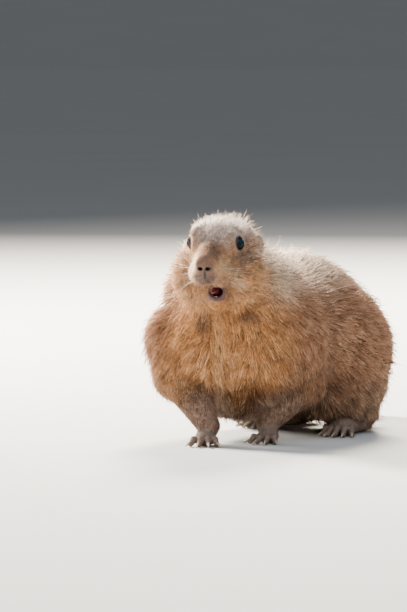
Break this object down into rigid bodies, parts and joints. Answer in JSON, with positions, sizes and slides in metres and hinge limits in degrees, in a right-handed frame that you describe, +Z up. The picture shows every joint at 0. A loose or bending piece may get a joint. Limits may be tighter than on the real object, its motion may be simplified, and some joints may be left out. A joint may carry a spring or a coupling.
{
  "type": "prairie dog",
  "caption": "Life-size still model of a stout prairie dog standing on all fours, head turned and raised, mouth a little open, short tail.",
  "frame": {"origin": "bottom centre of the bounding box, on the floor under the middle of the body", "axes": "+Z up, the animal's head toward -Y and its left side toward +X"},
  "size_m": [0.1288, 0.3062, 0.1508],
  "materials": {
    "coat": "short dense fur, orange-tan below and grizzled grey-brown above",
    "bare_skin": "fine matt grey-brown skin of the nose and lips",
    "eye": "wet, glossy and nearly black",
    "mouth": "moist pink-red skin inside the mouth",
    "tooth": "smooth ivory enamel",
    "foot": "thin short fur and horny claws over grey-brown skin"
  },
  "bodies": {
    "root": {"head": "coat", "lower_jaw": "coat", "nose": "bare_skin", "ear_left": "coat", "ear_right": "coat", "eye_left": "eye", "eye_right": "eye", "tongue": "mouth", "lower_incisors": "tooth", "neck": "coat", "chest": "coat", "belly": "coat", "rump": "coat", "tail": "coat", "upper_arm_left": "coat", "upper_arm_right": "coat", "forearm_left": "coat", "forearm_right": "coat", "forefoot_left": "foot", "forefoot_right": "foot", "thigh_left": "coat", "thigh_right": "coat", "hindfoot_left": "foot", "hindfoot_right": "foot"}
  },
  "joints": []
}
